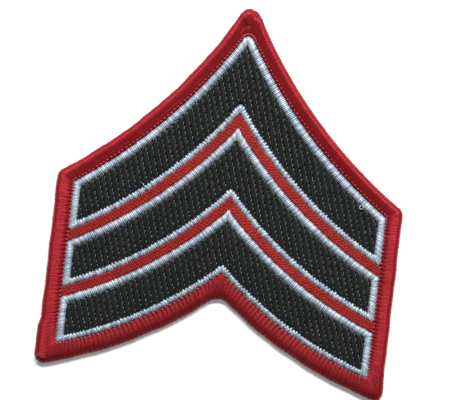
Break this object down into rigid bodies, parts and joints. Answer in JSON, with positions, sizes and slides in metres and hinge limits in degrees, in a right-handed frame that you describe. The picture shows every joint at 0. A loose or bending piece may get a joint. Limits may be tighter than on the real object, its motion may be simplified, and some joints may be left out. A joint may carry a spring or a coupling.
{
  "type": "embroidered rank chevron patch",
  "caption": "Embroidered cloth sleeve patch: black chevrons, point up, each outlined in pale blue satin stitch, with red stripes between them and a rounded red overlocked border.",
  "frame": {"origin": "middle of the flat back, halfway between the border's sides and between its apex and its feet", "axes": "+Z out of the patch's face, +Y toward the apex of the chevrons, +X to the right seen from the front"},
  "size_m": [0.0765, 0.0818, 0.0027],
  "materials": {
    "ground_twill": "matte black twill",
    "border_thread": "glossy red overlock thread",
    "fill_thread": "black fill stitches with a soft sheen",
    "outline_thread": "glossy pale ice-blue satin stitches",
    "stripe_thread": "red fill stitches with a soft sheen"
  },
  "bodies": {
    "root": {"ground_cloth": "ground_twill", "border": "border_thread", "border_lap": "border_thread", "fill_top": "fill_thread", "fill_middle": "fill_thread", "fill_bottom": "fill_thread", "outline_top": "outline_thread", "outline_middle": "outline_thread", "outline_bottom": "outline_thread", "stripe_upper": "stripe_thread", "stripe_lower": "stripe_thread"}
  },
  "joints": []
}
